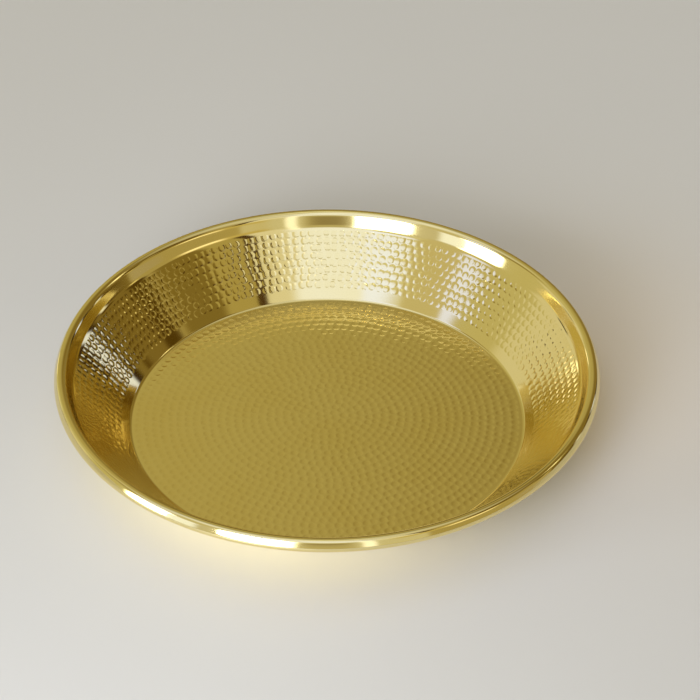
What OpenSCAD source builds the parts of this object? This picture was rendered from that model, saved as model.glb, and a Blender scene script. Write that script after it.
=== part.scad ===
// Dough kneading plate: a round brass plate with a flat floor, a flared wall,
// a steeper plain band and an edge rolled over a wire.
// The origin is on the table at the plate's axis, with +Z up.

/* [Plate] */
// Outside diameter over the rolled edge
overall_d = 340; // [260:5:480]
// Height from the table to the top of the rolled edge
overall_h = 47; // [36:1:70]
// Thickness of the brass sheet
sheet_t = 1; // [0.6:0.1:1.6]

/* [Wall] */
// Angle of the flared wall above the table
wall_angle = 47.8; // [35:0.2:55]
// Inside radius of the bend between floor and wall
floor_bend_r = 2.5; // [1:0.5:6]

/* [Band] */
// Angle of the plain band above the table
band_angle = 64; // [58:0.5:80]
// Height of the plain band along its slope, from the crease to the rolled edge
band_l = 7.15; // [4:0.05:16]
// Inside radius of the crease between wall and band
crease_r = 12; // [2:0.5:20]

/* [Rolled edge] */
// Diameter of the wire inside the rolled edge
wire_d = 6.4; // [3:0.2:9]
// Clearance between the wire and the sheet rolled over it
wire_clearance = 0.1; // [0.05:0.05:0.3]
// Gap left between the sheet's cut edge and the back of the band
tuck_gap = 0.4; // [0.2:0.1:0.8]
// Gap between the two ends of the wire, where they butt together
wire_joint_gap = 0.5; // [0.2:0.1:2]

/* [Hidden] */
$fn = 180;

// The rolled edge: inner and outer radius of the sheet, and its centre as [radius, height]
roll_inner_r = wire_d / 2 + wire_clearance;
roll_outer_r = roll_inner_r + sheet_t;
roll_centre = [overall_d / 2 - roll_outer_r, overall_h - roll_outer_r];

// The roll turns down and under from the top of the band, until its cut edge nears the band's back
roll_start = band_angle + 90;
roll_end = roll_start - 360 + acos((roll_inner_r - tuck_gap) / roll_outer_r);

// Corners of the sheet's inner face before its bends are rounded, as [radius, height]
band_top = roll_centre + roll_outer_r * along(roll_start);
crease = band_top - band_l * along(band_angle);
floor_edge = [crease.x - (crease.y - sheet_t) / tan(wall_angle), sheet_t];

// Distance from each corner to where its bend starts
floor_setback = floor_bend_r * tan(wall_angle / 2);
crease_setback = crease_r * tan((band_angle - wall_angle) / 2);

// Turn of the wire's ring that its joint takes up, and where the joint lies
wire_joint_turn = wire_joint_gap / roll_centre.x * 180 / PI;
wire_joint_azimuth = 90;

// Centres of the two bends, as [radius, height]
floor_bend = floor_edge + [-floor_setback, floor_bend_r];
crease_bend = crease - crease_setback * along(wall_angle) + crease_r * along(wall_angle + 90);

// Largest turn between two points of a round stretch
arc_step = 6;

// Unit step in the direction of an angle
function along(angle) = [cos(angle), sin(angle)];

// Points of a round stretch about a centre, from one angle to another
function arc(centre, r, from, to) =
  let (steps = ceil(abs(to - from) / arc_step))
  [for (i = [0:steps]) centre + r * along(from + (to - from) * i / steps)];

// The sheet's inner face, from the axis up the wall and round the outside of the roll
function inner_face() = concat(
  [[0, sheet_t]],
  arc(floor_bend, floor_bend_r, -90, wall_angle - 90),
  arc(crease_bend, crease_r, wall_angle - 90, band_angle - 90),
  arc(roll_centre, roll_outer_r, roll_start, roll_end));

// The sheet's outer face, from the inside of the roll back down to the axis
function outer_face() = concat(
  arc(roll_centre, roll_inner_r, roll_end, roll_start),
  arc(crease_bend, crease_r + sheet_t, band_angle - 90, wall_angle - 90),
  arc(floor_bend, floor_bend_r + sheet_t, wall_angle - 90, -90),
  [[0, 0]]);

// The spun sheet in one piece
module pan() {
  color("#c9ab4b") rotate_extrude() polygon(concat(inner_face(), outer_face()));
}

// The ring of wire inside the rolled edge, open at its butt joint
module rim_wire() {
  color("#8c9094")
    rotate(wire_joint_azimuth + wire_joint_turn / 2)
      rotate_extrude(angle = 360 - wire_joint_turn)
        translate(roll_centre) circle(d = wire_d);
}

pan();
rim_wire();
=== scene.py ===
"""Looks of a hammered brass dough plate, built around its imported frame.

The plate is one sheet, so every surface here is the same function: a place along the sheet's section, an
azimuth and a height above the sheet's face. The hammer marks are rows of shallow dents that lower the height.
"""

import bpy
import numpy as np
from mathutils import Matrix, Vector


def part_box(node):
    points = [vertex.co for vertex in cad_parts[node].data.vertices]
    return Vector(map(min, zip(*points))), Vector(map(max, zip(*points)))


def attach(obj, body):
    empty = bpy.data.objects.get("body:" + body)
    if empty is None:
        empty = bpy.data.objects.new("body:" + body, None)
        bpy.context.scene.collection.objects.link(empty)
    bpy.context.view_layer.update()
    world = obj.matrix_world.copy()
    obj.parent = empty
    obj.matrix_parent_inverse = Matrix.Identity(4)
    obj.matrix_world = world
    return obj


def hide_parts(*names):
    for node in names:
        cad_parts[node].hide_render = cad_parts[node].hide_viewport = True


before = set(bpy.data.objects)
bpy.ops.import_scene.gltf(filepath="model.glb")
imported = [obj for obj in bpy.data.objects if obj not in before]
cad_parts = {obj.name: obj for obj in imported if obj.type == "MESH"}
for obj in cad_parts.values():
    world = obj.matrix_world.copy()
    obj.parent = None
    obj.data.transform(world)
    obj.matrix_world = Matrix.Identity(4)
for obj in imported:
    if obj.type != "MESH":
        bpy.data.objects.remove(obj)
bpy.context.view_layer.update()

MM = 0.001
TURN = 2 * np.pi
rng = np.random.default_rng(seed=23)

# Overall sizes, read from the frame
pan_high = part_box("pan")[1]
wire_low, wire_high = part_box("rim_wire")
RIM_R = pan_high.x
RIM_H = pan_high.z
WIRE_R = (wire_high.z - wire_low.z) / 2

# The sheet's section, as the part is drawn
SHEET = 1.0 * MM
WALL_SLOPE = np.radians(47.8)
BAND_SLOPE = np.radians(64)
BAND_LENGTH = 7.15 * MM
FLOOR_BEND_R = 2.5 * MM
CREASE_R = 12.0 * MM
WIRE_CLEARANCE = 0.1 * MM
TUCK_GAP = 0.4 * MM

# The roll's shoulder is planished slightly flat: depth, heading of its middle and reach
PRESS = 0.6 * MM
PRESS_HEADING = np.radians(-62.5)
PRESS_REACH = np.radians(45)

# Rows of hammer marks: their pitch across the rows and their spacing along a row
RING_COUNT = 23
RING_PITCH = 5.2 * MM
RING_SPACING = 5.35 * MM
ROW_COUNT = 8
ROW_PITCH = 5.04 * MM
ROW_SPACING = 5.25 * MM
TOP_MARGIN = 2.6 * MM

# One hammer mark: its depth and the flatness of its bottom on the floor and on the wall, and its reach
FLOOR_DENT = 0.105 * MM
WALL_DENT = 0.12 * MM
FLOOR_FLATNESS = 1.15
WALL_FLATNESS = 2.0
DENT_REACH = 2.5 * MM

# How far a hand strays: across a row, along it as a share of the spacing, and as factors of depth and reach
STRAY_ACROSS = 0.22 * MM
STRAY_ALONG = 0.07
DEPTH_RANGE = (0.7, 1.2)
REACH_RANGE = (0.9, 1.08)

# The reverse of the sheet bulges by this share of a mark's depth
REVERSE_SHARE = 0.55

# Seams beside the bends lie on plain flat sheet, this far from the bend
SEAM_SETBACK = 0.9 * MM

# Grids: length of a cell on the hammered sheet, cells round the rim, and steps over the rim's seam, crease,
# band and roll, out along the front and back along the reverse
CELL = 0.45 * MM
RIM_CELLS = 560
FRONT_STEPS = (2, 10, 6, 48)
BACK_STEPS = (28, 3, 5, 1)

# Edges that turn by more than this stay sharp
SHARP_ANGLE = np.radians(50)


# The sheet's section

def along(angle):
    """Unit step in the direction of an angle, as radius and height."""
    return np.array([np.cos(angle), np.sin(angle)])


def section_knots():
    """Places along the section where a flat meets a bend, and the section's heading at each.

    The corners are found from the rim inwards: the roll touches the overall radius and height, the band
    touches the roll, the wall starts at the foot of the band and ends at the floor. Each bend then takes its
    setback from the flats beside it.
    """
    roll_r = WIRE_R + WIRE_CLEARANCE + SHEET
    roll_centre = np.array([RIM_R, RIM_H]) - roll_r
    crease = roll_centre + roll_r * along(BAND_SLOPE + TURN / 4) - BAND_LENGTH * along(BAND_SLOPE)
    wall_rise = crease[1] - SHEET
    floor_edge = crease[0] - wall_rise / np.tan(WALL_SLOPE)
    floor_setback = FLOOR_BEND_R * np.tan(WALL_SLOPE / 2)
    crease_setback = CREASE_R * np.tan((BAND_SLOPE - WALL_SLOPE) / 2)
    roll_turn = TURN - np.arccos((roll_r - SHEET - TUCK_GAP) / roll_r)
    lengths = [
        floor_edge - floor_setback,
        FLOOR_BEND_R * WALL_SLOPE,
        wall_rise / np.sin(WALL_SLOPE) - floor_setback - crease_setback,
        CREASE_R * (BAND_SLOPE - WALL_SLOPE),
        BAND_LENGTH - crease_setback,
        roll_r * roll_turn,
    ]
    headings = [0, 0, WALL_SLOPE, WALL_SLOPE, BAND_SLOPE, BAND_SLOPE, BAND_SLOPE - roll_turn]
    return np.concatenate([[0], np.cumsum(lengths)]), np.array(headings)


def section_table(steps=20000):
    """Radius and height along the section: the running sum of steps in the direction of its heading."""
    place = np.linspace(0, KNOTS[-1], steps + 1)
    heading = np.interp(place, KNOTS, HEADINGS)
    middle = (heading[1:] + heading[:-1]) / 2
    step = place[1]
    radius = np.concatenate([[0], np.cumsum(step * np.cos(middle))])
    height = SHEET + np.concatenate([[0], np.cumsum(step * np.sin(middle))])
    return place, radius, height


KNOTS, HEADINGS = section_knots()
PLACE, RADIUS, HEIGHT = section_table()
FLOOR_END, WALL_START, WALL_END, BAND_START, BAND_END, ROLL_END = KNOTS[1:]
RIM_SEAM = WALL_END - SEAM_SETBACK


def on_sheet(place, turn, raised):
    """Points of the sheet: the section's point at a place, raised along its inner normal, turned about Z."""
    heading = np.interp(place, KNOTS, HEADINGS)
    radius = np.interp(place, PLACE, RADIUS) - raised * np.sin(heading)
    height = np.interp(place, PLACE, HEIGHT) + raised * np.cos(heading)
    return np.stack([radius * np.cos(turn), radius * np.sin(turn), height], -1)


# Hammer marks

ROW_PLACE = np.concatenate([
    RING_PITCH * np.arange(RING_COUNT + 1),
    WALL_END - TOP_MARGIN - ROW_PITCH * np.arange(ROW_COUNT)[::-1],
])
ROW_RADIUS = np.interp(ROW_PLACE, PLACE, RADIUS)
ON_WALL = ROW_PLACE > WALL_START
MARK_SPACING = np.where(ON_WALL, ROW_SPACING, RING_SPACING)
MARKS_IN_ROW = np.maximum(1, np.rint(TURN * ROW_RADIUS / MARK_SPACING)).astype(int)
MARKS_SHAPE = (len(ROW_PLACE), MARKS_IN_ROW.max())
ROW_START = rng.random((len(ROW_PLACE), 1))
MARK_TURN = TURN * (np.arange(MARKS_SHAPE[1]) + ROW_START + rng.normal(0, STRAY_ALONG, MARKS_SHAPE))
MARK_TURN = MARK_TURN / MARKS_IN_ROW[:, None]
MARK_PLACE = ROW_PLACE[:, None] + rng.normal(0, STRAY_ACROSS, MARKS_SHAPE)
MARK_RADIUS = np.interp(MARK_PLACE, PLACE, RADIUS)
MARK_DEPTH = np.where(ON_WALL, WALL_DENT, FLOOR_DENT)[:, None] * rng.uniform(*DEPTH_RANGE, MARKS_SHAPE)
MARK_REACH = DENT_REACH * rng.uniform(*REACH_RANGE, MARKS_SHAPE)
ROW_FLATNESS = np.where(ON_WALL, WALL_FLATNESS, FLOOR_FLATNESS)

# The hammered sheet is cut into rings between its rows of marks: the place where each piece ends
WALL_ROWS = ROW_PLACE[ON_WALL]
SEAMS = {
    "floor_middle": 8.5 * RING_PITCH,
    "floor_inner_ring": 12.5 * RING_PITCH,
    "floor_middle_ring": 16.5 * RING_PITCH,
    "floor_outer_ring": 20.5 * RING_PITCH,
    "floor_edge": FLOOR_END - SEAM_SETBACK,
    "wall_foot": WALL_ROWS[0] - ROW_PITCH / 2,
    "wall_low": WALL_ROWS[2] + ROW_PITCH / 2,
    "wall_middle": WALL_ROWS[5] + ROW_PITCH / 2,
    "wall_high": RIM_SEAM,
}


def dent_depth(place, turn):
    """Depth of the hammer marks at places and azimuths.

    Each mark is depth times 1 - (distance^2 / reach^2)^flatness, and where marks meet the deepest counts.
    The distance squared is the difference of places squared plus 2 r1 r2 (1 - cos of the difference of
    azimuths), as in the cosine rule. Only the nearest marks of the nearest three rows are tried.
    """
    radius = np.interp(place, PLACE, RADIUS)
    nearest = np.searchsorted((ROW_PLACE[1:] + ROW_PLACE[:-1]) / 2, place)
    depth = np.zeros_like(place)
    for across in (-1, 0, 1):
        row = np.clip(nearest + across, 0, len(ROW_PLACE) - 1)
        count = MARKS_IN_ROW[row]
        first = np.rint(turn / TURN * count - ROW_START[row, 0]).astype(int)
        for beside in (-1, 0, 1):
            mark = (first + beside) % count
            apart = 1 - np.cos(turn - MARK_TURN[row, mark])
            distance2 = (place - MARK_PLACE[row, mark]) ** 2 + 2 * radius * MARK_RADIUS[row, mark] * apart
            bowl = np.clip(1 - (distance2 / MARK_REACH[row, mark] ** 2) ** ROW_FLATNESS[row], 0, None)
            depth = np.maximum(depth, MARK_DEPTH[row, mark] * bowl)
    return depth


# Meshes

def grid_faces(index):
    """Four-sided faces of a grid of point numbers, facing along the row step crossed with the column step."""
    corners = [index[:-1, :-1], index[1:, :-1], index[1:, 1:], index[:-1, 1:]]
    return np.stack(corners, -1).reshape(-1, 4)


def closed_columns(index):
    """A grid of point numbers whose first column follows its last."""
    return np.concatenate([index, index[:, :1]], 1)


def stitch(fine, coarse):
    """Triangles between a closed ring of points and one with half as many, at the outer edge of a piece."""
    fine_next, coarse_next = np.roll(fine, -1), np.roll(coarse, -1)
    middle = fine[1::2]
    return np.concatenate([
        np.stack([coarse, middle, fine[::2]], -1),
        np.stack([coarse, coarse_next, middle], -1),
        np.stack([coarse_next, fine_next[1::2], middle], -1),
    ])


def make_piece(name, points, faces, dents, material):
    """A mesh object from an array of points, a list of face arrays and the share of dent at each point."""
    mesh = bpy.data.meshes.new(name)
    mesh.vertices.add(len(points))
    mesh.vertices.foreach_set("co", points.astype(np.float32).ravel())
    corners = np.concatenate([part.ravel() for part in faces])
    sides = np.concatenate([np.full(len(part), part.shape[1]) for part in faces])
    mesh.loops.add(len(corners))
    mesh.loops.foreach_set("vertex_index", corners.astype(np.int32))
    mesh.polygons.add(len(sides))
    mesh.polygons.foreach_set("loop_start", (np.cumsum(sides) - sides).astype(np.int32))
    mesh.update(calc_edges=True)
    mesh.shade_smooth()
    mesh.set_sharp_from_angle(angle=SHARP_ANGLE)
    mesh.attributes.new("dent", "FLOAT", "POINT").data.foreach_set("value", dents.astype(np.float32))
    mesh.materials.append(material)
    piece = bpy.data.objects.new(name, mesh)
    bpy.context.scene.collection.objects.link(piece)
    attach(piece, "root")
    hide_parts("pan")
    return piece


def disc_grid(cells, radius):
    """A square grid pressed into a disc: rings of the square become circles, with even steps round each.

    A point (a, b) of the square goes to radius max(|a|, |b|), and its azimuth grows evenly along each side.
    """
    a, b = np.meshgrid(np.linspace(-1, 1, cells + 1), np.linspace(-1, 1, cells + 1), indexing="ij")
    wide = np.abs(a) > np.abs(b)
    long = np.where(wide, a, b)
    short = np.where(wide, b, a)
    lean = TURN / 8 * short / np.where(long == 0, 1, long)
    turn = np.where(wide, lean, TURN / 4 - lean)
    x, y = long * np.cos(turn), long * np.sin(turn)
    return np.hypot(x, y) * radius, np.arctan2(y, x)


def disc_edge(index):
    """Point numbers round the edge of a square grid, anticlockwise."""
    return np.concatenate([index[-1, :-1], index[:0:-1, -1], index[0, :0:-1], index[:-1, 0]])


def numbered(face, back):
    """Point numbers of the two faces of a piece, in the shapes of their grids."""
    return np.arange(face.size).reshape(face.shape), face.size + np.arange(back.size).reshape(back.shape)


def hammered_piece(name, face, back, faces, material):
    """A stretch of hammered sheet: a fine grid of places and azimuths for its face, a coarser one behind.

    The reverse bulges behind each mark by a share of the mark's depth. Under the floor it is raised by the
    same share of the deepest mark, so that no bulge passes the plane on which the plate stands.
    """
    dent = dent_depth(*face)
    bulge = dent_depth(*back)
    lift = np.interp(back[0], (FLOOR_END, WALL_START), (MARK_DEPTH[~ON_WALL].max(), 0))
    inner = on_sheet(*face, -dent)
    outer = on_sheet(*back, REVERSE_SHARE * (lift - bulge) - SHEET)
    points = np.concatenate([inner.reshape(-1, 3), outer.reshape(-1, 3)])
    dents = np.concatenate([dent.ravel(), bulge.ravel()]) / WALL_DENT
    return make_piece(name, points, faces, dents, material)


def middle_piece(name, end, material):
    """The middle of the floor, out to a place, closed at its edge."""
    cells = 4 * int(end / CELL / 2)
    face, back = disc_grid(cells, end), disc_grid(cells // 2, end)
    face_index, back_index = numbered(face[0], back[0])
    faces = [
        grid_faces(face_index),
        grid_faces(back_index)[:, ::-1],
        stitch(disc_edge(face_index), disc_edge(back_index)),
    ]
    return hammered_piece(name, face, back, faces, material)


def stretches(ends, steps):
    """Places from the first end to the last, in a number of even steps between each end and the next."""
    rows = [np.linspace(a, b, count + 1)[1:] for a, b, count in zip(ends, ends[1:], steps)]
    return np.concatenate([ends[:1], *rows])


def ring_piece(name, start, end, material):
    """A ring of sheet between two places, closed at both edges."""
    ends = [start, *KNOTS[(KNOTS > start) & (KNOTS < end)], end]
    rows = stretches(ends, [2 * int(np.ceil((b - a) / CELL / 2)) for a, b in zip(ends, ends[1:])])
    cells = 2 * int(TURN * np.interp(end, PLACE, RADIUS) / CELL / 2)
    turn = TURN * np.arange(cells) / cells
    face = np.meshgrid(rows, turn, indexing="ij")
    back = np.meshgrid(rows[::2], turn[::2], indexing="ij")
    face_index, back_index = numbered(face[0], back[0])
    faces = [
        grid_faces(closed_columns(face_index)),
        grid_faces(closed_columns(back_index))[:, ::-1],
        stitch(face_index[0], back_index[0])[:, ::-1],
        stitch(face_index[-1], back_index[-1]),
    ]
    return hammered_piece(name, face, back, faces, material)


def rim_piece(material):
    """The plain band and the rolled edge.

    The section's outline is followed out along one face and back along the other, and carried round the axis.
    The shoulder is pressed in by depth times (1 - (lean / reach)^2)^2.
    """
    ends = [RIM_SEAM, WALL_END, BAND_START, BAND_END, ROLL_END]
    front, back = stretches(ends, FRONT_STEPS), stretches(ends[::-1], BACK_STEPS)
    outline = np.concatenate([front, back])
    lean = (np.interp(front, KNOTS, HEADINGS) - PRESS_HEADING) / PRESS_REACH
    pressed = PRESS * np.clip(1 - lean ** 2, 0, None) ** 2
    raised = np.concatenate([-pressed, np.full(len(back), -SHEET)])
    round_turn = TURN * np.arange(RIM_CELLS) / RIM_CELLS
    place, turn = np.meshgrid(outline, round_turn, indexing="ij")
    points = on_sheet(place, turn, raised[:, None]).reshape(-1, 3)
    index = closed_columns(np.arange(place.size).reshape(place.shape))
    faces = [grid_faces(np.concatenate([index, index[:1]]))]
    return make_piece("rolled_rim", points, faces, np.zeros(place.size), material)


# Shader maths

class Shade:
    """An output socket, whose arithmetic adds Math nodes to its tree."""

    def __init__(self, nodes, socket):
        self.nodes = nodes
        self.socket = socket

    def math(self, operation, *values):
        """A Math node on the given values, self among them."""
        return self.nodes.add("ShaderNodeMath", {"operation": operation}, dict(enumerate(values)))

    def __add__(self, other):
        return self.math("ADD", self, other)

    __radd__ = __add__

    def __sub__(self, other):
        return self.math("SUBTRACT", self, other)

    def __rsub__(self, other):
        return self.math("SUBTRACT", other, self)

    def __mul__(self, other):
        return self.math("MULTIPLY", self, other)

    __rmul__ = __mul__

    def __pow__(self, other):
        return self.math("POWER", self, other)


class Nodes:
    """The node tree of a material or a world."""

    def __init__(self, owner):
        owner.use_nodes = True
        self.tree = owner.node_tree
        self.tree.nodes.clear()

    def add(self, kind, settings=None, inputs=None, output=0):
        """One node of a kind: its settings first, then its inputs by name or number. Gives one output."""
        node = self.tree.nodes.new(kind)
        for key, value in (settings or {}).items():
            setattr(node, key, value)
        for key, value in (inputs or {}).items():
            socket = self.find(node.inputs, key)
            if isinstance(value, Shade):
                self.tree.links.new(value.socket, socket)
            else:
                socket.default_value = value
        return Shade(self, self.find(node.outputs, output)) if node.outputs else None

    @staticmethod
    def find(sockets, key):
        """A socket by its name, or by its number, among those that are in use."""
        used = [socket for socket in sockets if socket.enabled]
        return used[key] if isinstance(key, int) else next(s for s in used if s.name == key)

    def noise(self, vector, scale, detail=2.0, roughness=0.5):
        """Noise between 0 and 1."""
        values = {"Vector": vector, "Scale": scale, "Detail": detail, "Roughness": roughness}
        return self.add("ShaderNodeTexNoise", {}, values)

    def mix(self, factor, a, b):
        """A colour between two colours."""
        return self.add("ShaderNodeMix", {"data_type": "RGBA"}, {"Factor": factor, "A": a, "B": b})

    def ramp(self, value, low, high):
        """0 below low, 1 above high, and a smooth rise between them."""
        limits = {"Value": value, "From Min": low, "From Max": high}
        return self.add("ShaderNodeMapRange", {"interpolation_type": "SMOOTHSTEP"}, limits)


def rgba(colour):
    """A colour with full alpha."""
    return (*colour, 1.0)


# Finishes

BRASS = (0.90, 0.76, 0.36)
BRASS_DEEP = (0.87, 0.71, 0.29)
STEEL = (0.52, 0.53, 0.54)
STEEL_DULL = (0.34, 0.32, 0.30)
STONE = (0.665, 0.645, 0.595)
STONE_DEEP = (0.64, 0.62, 0.57)
GRAIN_DEPTH = 0.02 * MM
LINE_DEPTH = 0.015 * MM


def finish_material(name, build):
    """A material whose Principled shader gets its values from a function of its nodes."""
    material = bpy.data.materials.new(name)
    nodes = Nodes(material)
    shader = nodes.add("ShaderNodeBsdfPrincipled", {}, build(nodes))
    nodes.add("ShaderNodeOutputMaterial", {}, {"Surface": shader})
    return material


def hammered_brass(nodes):
    """Polished sheet with soft cloudy tarnish, a little duller at the bottom of each hammer mark."""
    place = nodes.add("ShaderNodeTexCoord", output="Object")
    dent = nodes.add("ShaderNodeAttribute", {"attribute_name": "dent"}, output="Fac")
    cloud = nodes.noise(place, scale=22.0, detail=3.0)
    grain = nodes.noise(place, scale=900.0)
    tone = nodes.ramp(cloud, 0.35, 0.75) * 0.5 + dent * 0.3
    bump = nodes.add("ShaderNodeBump", {}, {"Strength": 0.15, "Distance": GRAIN_DEPTH, "Height": grain})
    return {
        "Base Color": nodes.mix(tone, rgba(BRASS), rgba(BRASS_DEEP)),
        "Metallic": 1.0,
        "Roughness": 0.05 + 0.05 * cloud + 0.02 * dent,
        "Normal": bump,
    }


def polished_brass(nodes):
    """Sheet polished in the lathe: fine lines run round the axis, and a light haze breaks the shine."""
    place = nodes.add("ShaderNodeTexCoord", output="Object")
    apart = nodes.add("ShaderNodeSeparateXYZ", {}, {"Vector": place})
    x, y, z = (Shade(nodes, apart.socket.node.outputs[axis]) for axis in "XYZ")
    radius = (x * x + y * y) ** 0.5
    ring = nodes.add("ShaderNodeCombineXYZ", {}, {"X": radius, "Y": z, "Z": 0.0})
    lines = nodes.noise(ring, scale=2600.0, detail=3.0, roughness=0.7)
    cloud = nodes.noise(place, scale=26.0, detail=3.0)
    tone = nodes.ramp(cloud, 0.35, 0.75) * 0.4
    bump = nodes.add("ShaderNodeBump", {}, {"Strength": 0.2, "Distance": LINE_DEPTH, "Height": lines})
    return {
        "Base Color": nodes.mix(tone, rgba(BRASS), rgba(BRASS_DEEP)),
        "Metallic": 1.0,
        "Roughness": 0.04 + 0.04 * cloud + 0.03 * lines,
        "Normal": bump,
    }


def drawn_steel(nodes):
    """Bare drawn wire, with dull patches."""
    place = nodes.add("ShaderNodeTexCoord", output="Object")
    patch = nodes.noise(place, scale=120.0, detail=4.0)
    return {
        "Base Color": nodes.mix(patch, rgba(STEEL), rgba(STEEL_DULL)),
        "Metallic": 1.0,
        "Roughness": 0.3 + 0.25 * patch,
    }


def pale_table(nodes):
    """Plain pale stone."""
    place = nodes.add("ShaderNodeTexCoord", output="Object")
    cloud = nodes.noise(place, scale=3.0, detail=3.0)
    return {
        "Base Color": nodes.mix(cloud, rgba(STONE), rgba(STONE_DEEP)),
        "Roughness": 0.55,
    }


# Camera, light and stage

# The camera, with its lens and frame in pixels, and its sensor in millimetres as Blender has it
CAMERA_ELEVATION = np.radians(37.59)
CAMERA_ROLL = np.radians(0.21)
CAMERA_DISTANCE = 1.40004
CAMERA_RIGHT = 14.32 * MM
CAMERA_UP = 42.05 * MM
FOCAL_PIXELS = 2200
FRAME_PIXELS = 700
SENSOR = 36.0

# A lamp in the front window: azimuth and elevation in degrees, distance, size, brightness and half its cone
WINDOW_AZIMUTH = 244
WINDOW_ELEVATION = 20
WINDOW_DISTANCE = 1.0
WINDOW_SIZE = (0.38, 0.44)
WINDOW_RADIANCE = 13.6
WINDOW_COLOUR = (0.93, 1.0, 1.18)
WINDOW_HALF_CONE = np.radians(50)

# A warm lamp over the table at the right
GLOW_PLACE = (0.20, 0.06, 0.12)
GLOW_SIZE = (0.05, 0.22)
GLOW_RADIANCE = 0.74
GLOW_COLOUR = (1.0, 0.53, 0.0)

# The table top: its radius and the number of its sides
TABLE_R = 6.0
TABLE_SIDES = 96


def sight_line(azimuth, elevation):
    """Unit vector towards an azimuth and an elevation in degrees."""
    turn, rise = np.radians(azimuth), np.radians(elevation)
    return np.array([np.cos(rise) * np.cos(turn), np.cos(rise) * np.sin(turn), np.sin(rise)])


def photo_camera():
    """The camera looks along +Y and down at the middle of the floor, then shifts in its own frame."""
    back = Vector((0, -np.cos(CAMERA_ELEVATION), np.sin(CAMERA_ELEVATION)))
    level = Vector((1, 0, 0))
    upright = back.cross(level)
    right = level * np.cos(CAMERA_ROLL) + upright * np.sin(CAMERA_ROLL)
    up = upright * np.cos(CAMERA_ROLL) - level * np.sin(CAMERA_ROLL)
    data = bpy.data.cameras.new("photo_camera")
    data.sensor_width = SENSOR
    data.lens = SENSOR * FOCAL_PIXELS / FRAME_PIXELS
    camera = bpy.data.objects.new("photo_camera", data)
    turned = Matrix((right, up, back)).transposed().to_4x4()
    eye = back * CAMERA_DISTANCE + right * CAMERA_RIGHT + up * CAMERA_UP + Vector((0, 0, SHEET))
    camera.matrix_world = Matrix.Translation(eye) @ turned
    bpy.context.scene.collection.objects.link(camera)
    bpy.context.scene.camera = camera


def area_lamp(name, place, away, size, radiance, colour):
    """A rectangular lamp at a place, with its back turned to a direction, that the camera doesn't see."""
    data = bpy.data.lights.new(name, "AREA")
    data.shape = "RECTANGLE"
    data.size, data.size_y = size
    data.energy = radiance * np.pi * size[0] * size[1]
    data.color = colour
    lamp = bpy.data.objects.new(name, data)
    lamp.matrix_world = Matrix.Translation(place) @ away.to_track_quat("Z", "Y").to_matrix().to_4x4()
    lamp.visible_camera = False
    bpy.context.scene.collection.objects.link(lamp)
    return lamp


def window_lamp():
    """A lamp in the front window, which faces the plate.

    Its light narrows to a cone, which raises the brightness of its face by tan / (tan - angle) of half the
    cone, so its energy is divided by that.
    """
    away = Vector(sight_line(WINDOW_AZIMUTH, WINDOW_ELEVATION))
    lamp = area_lamp("window_lamp", away * WINDOW_DISTANCE, away, WINDOW_SIZE, WINDOW_RADIANCE, WINDOW_COLOUR)
    lamp.data.spread = 2 * WINDOW_HALF_CONE
    lamp.data.energy *= (np.tan(WINDOW_HALF_CONE) - WINDOW_HALF_CONE) / np.tan(WINDOW_HALF_CONE)


def table_glow():
    """A small warm lamp over the table at the right of the plate, which the brass doesn't mirror."""
    upwards = Vector((0, 0, 1))
    lamp = area_lamp("table_glow", Vector(GLOW_PLACE), upwards, GLOW_SIZE, GLOW_RADIANCE, GLOW_COLOUR)
    lamp.visible_glossy = False


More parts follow.
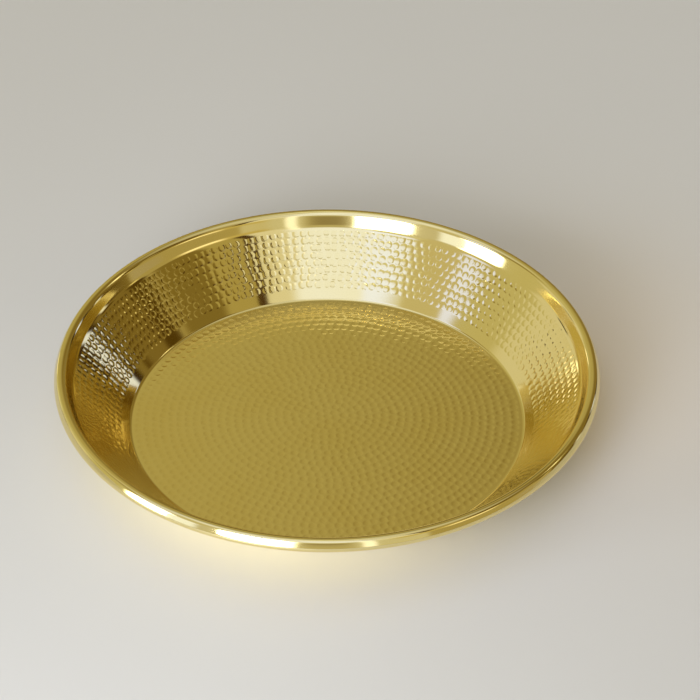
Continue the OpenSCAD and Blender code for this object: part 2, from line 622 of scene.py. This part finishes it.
# The room: its base colour, the colour that the camera sees behind the table, then soft panels laid over the
# base in turn. Each has a colour, an azimuth, half a width and a soft edge, then the elevations that it lies
# above and below with their own soft edge, all in degrees.
ROOM = (0.60, 0.57, 0.45)
BACKDROP = (0.53, 0.51, 0.45)
PANELS = {
    "right wall": ((0.21, 0.15, 0.04), 30, 80, 10, None, 58, 8),
    "far wall": ((0.45, 0.392, 0.172), 135, 51, 17, None, 58, 8),
    "far wall, low": ((0.26, 0.20, 0.07), 65, 32, 10, None, 28, 8),
    "far wall, dark": ((0.05, 0.03, 0.006), 93, 6, 2, 19, 26, 1.5),
    "far wall, high": ((0.25, 0.25, 0.17), 90, 50, 15, 55, None, 3),
    "left wall": ((0.56, 0.52, 0.29), 160, 35, 15, None, 58, 8),
    "left wall, high": ((0.32, 0.26, 0.09), 168, 13, 3, 35, 50, 2),
    "left wall, pale": ((0.70, 0.67, 0.52), 152, 17, 3, 5, 24, 2),
    "left wall, low": ((0.70, 0.65, 0.42), 148, 18, 4, -5, 5, 2),
    "left wall, dark": ((0.06, 0.042, 0.014), 150, 4, 1.5, 5.5, 10, 1),
    "left lamp": ((1.8, 1.7, 1.4), 130, 3, 1, 3, 9, 1),
    "front right": ((0.78, 0.76, 0.66), 296, 14, 3, None, 58, 8),
    "front right, low": ((0.64, 0.61, 0.46), 296, 14, 3, None, 30, 5),
    "right corner": ((0.42, 0.35, 0.15), 335, 27, 1.5, None, 50, 8),
    "right corner, middle": ((0.58, 0.48, 0.19), 319, 22, 4, 17, 30, 3),
    "right corner, high": ((0.43, 0.36, 0.14), 323, 12, 2, 32, 50, 2),
    "right corner, brown": ((0.22, 0.16, 0.04), 345, 12, 3, 28, 50, 2),
    "right corner, dark": ((0.09, 0.05, 0.008), 354, 18, 3, 45, 54, 1.5),
    "right wall, low": ((0.12, 0.075, 0.015), 28, 20, 6, None, 10, 4),
    "right wall, pale": ((0.42, 0.36, 0.22), 353, 8, 2, 0, 9, 2),
    "right wall, patch": ((0.08, 0.045, 0.005), 5, 5, 1.5, 22, 31, 1.5),
    "right wall, patch low": ((0.09, 0.05, 0.006), 21, 4, 1.5, 14, 20, 1.5),
    "right wall, high": ((0.34, 0.27, 0.10), 31, 9, 3, 37, 50, 2),
    "right, high": ((0.36, 0.30, 0.13), 350, 70, 22, 56, None, 3),
    "ceiling, right": ((0.66, 0.65, 0.56), None, 0, 0, 64, None, 12),
    "ceiling, left": ((0.90, 0.955, 1.13), 220, 90, 45, 62, None, 18),
    "ceiling, far strip": ((1.2, 1.15, 0.85), 90, 12, 5, 69, 74, 1.5),
    "front glow": ((0.98, 1.07, 1.45), 257, 33, 5, 38, 80, 5),
    "front glow, left": ((0.70, 0.68, 0.50), 234, 13, 3, 34, 46, 1.2),
    "front glow, high": ((0.98, 1.13, 2.0), 236, 12, 3, 45, 62, 1.5),
    "front beam": ((0.60, 0.58, 0.50), 262, 38, 6, 55.5, 58.5, 1),
    "left gap": ((0.60, 0.55, 0.36), 211, 13, 2.5, 24, 50, 3),
    "left glow": ((0.88, 1.0, 1.9), 193, 8, 2, 35.5, 48, 1.2),
    "left window": ((9.0, 9.5, 10.5), 201, 8, 3.5, -15, 22, 3.5),
    "left window, dim": ((1.05, 1.15, 1.5), 215, 6, 2, -15, 19, 4),
    "front window": ((6.0, 6.3, 7.0), 246, 11, 3.5, -15, 34, 3),
    "by the camera": ((0.52, 0.47, 0.28), 271, 9, 4, None, 36, 3),
    "by the camera, low": ((0.30, 0.25, 0.13), 270, 6, 5, 14, 22, 4),
    "front strip": ((1.3, 1.35, 1.5), 286, 2, 1.5, 0, 44, 4),
    "right opening": ((1.4, 1.25, 0.9), 327, 9, 4, 18, 26, 3),
    "right lamp": ((1.1, 0.95, 0.5), 17, 2.5, 1, 31, 36, 1.5),
    "right lamp, high": ((2.0, 1.9, 1.4), 25, 4, 1.5, 38, 44, 1.5),
    "right lamp, low": ((0.9, 0.75, 0.35), 3, 2, 1, 15, 20, 1),
    "right strip, dark": ((0.04, 0.02, 0.002), 38, 8, 2, 3, 18, 3),
    "right strip": ((0.88, 0.98, 1.45), 37, 2.6, 1.2, 2, 15, 2),
    "right strip, near": ((0.9, 0.9, 0.9), 21, 1.8, 1.2, 0, 12, 2),
    "dark edge": ((0.06, 0.025, 0.001), 311, 2.8, 0.6, 30, 56, 3),
}


def room_light():
    """Soft light from all round, from panels with smooth edges."""
    world = bpy.data.worlds.new("room")
    bpy.context.scene.world = world
    nodes = Nodes(world)
    direction = nodes.add("ShaderNodeTexCoord", output="Generated")
    level = nodes.add("ShaderNodeVectorMath", {"operation": "MULTIPLY"}, {0: direction, 1: (1, 1, 0)})
    level = nodes.add("ShaderNodeVectorMath", {"operation": "NORMALIZE"}, {0: level})

    def towards(vector, azimuth, elevation=0):
        values = {0: vector, 1: sight_line(azimuth, elevation)}
        return nodes.add("ShaderNodeVectorMath", {"operation": "DOT_PRODUCT"}, values, "Value")

    def sine(degrees):
        return np.sin(np.radians(np.clip(degrees, -90, 90)))

    rise = towards(direction, 0, 90)
    room = rgba(ROOM)
    for colour, azimuth, half, edge, above, below, rise_edge in PANELS.values():
        share = 1.0
        if azimuth is not None:
            inner, outer = np.radians(max(half - edge, 0)), np.radians(min(half + edge, 180))
            share = share * nodes.ramp(towards(level, azimuth), np.cos(outer), np.cos(inner))
        if above is not None:
            share = share * nodes.ramp(rise, sine(above - rise_edge), sine(above + rise_edge))
        if below is not None:
            share = share * (1 - nodes.ramp(rise, sine(below - rise_edge), sine(below + rise_edge)))
        room = nodes.mix(share, room, rgba(colour))
    seen = nodes.add("ShaderNodeLightPath", output="Is Camera Ray")
    background = nodes.add("ShaderNodeBackground", {}, {"Color": nodes.mix(seen, room, rgba(BACKDROP))})
    nodes.add("ShaderNodeOutputWorld", {}, {"Surface": background})


def table_top(material):
    """A wide flat disc under the plate."""
    mesh = bpy.data.meshes.new("table_top")
    turn = TURN * np.arange(TABLE_SIDES) / TABLE_SIDES
    points = np.stack([TABLE_R * np.cos(turn), TABLE_R * np.sin(turn), np.zeros(TABLE_SIDES)], -1)
    mesh.from_pydata(points.tolist(), [], [list(range(TABLE_SIDES))])
    mesh.materials.append(material)
    table = bpy.data.objects.new("table_top", mesh)
    bpy.context.scene.collection.objects.link(table)


hammered = finish_material("hammered_brass", hammered_brass)
polished = finish_material("polished_brass", polished_brass)
photo_camera()
middle_piece("floor_middle", SEAMS["floor_middle"], hammered)
for before, name in zip(SEAMS, list(SEAMS)[1:]):
    ring_piece(name, SEAMS[before], SEAMS[name], hammered)
rim_piece(polished)
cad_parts["rim_wire"].data.materials.clear()
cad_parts["rim_wire"].data.materials.append(finish_material("drawn_steel", drawn_steel))
table_top(finish_material("pale_table", pale_table))
room_light()
window_lamp()
table_glow()
bpy.context.scene.view_settings.view_transform = "Standard"
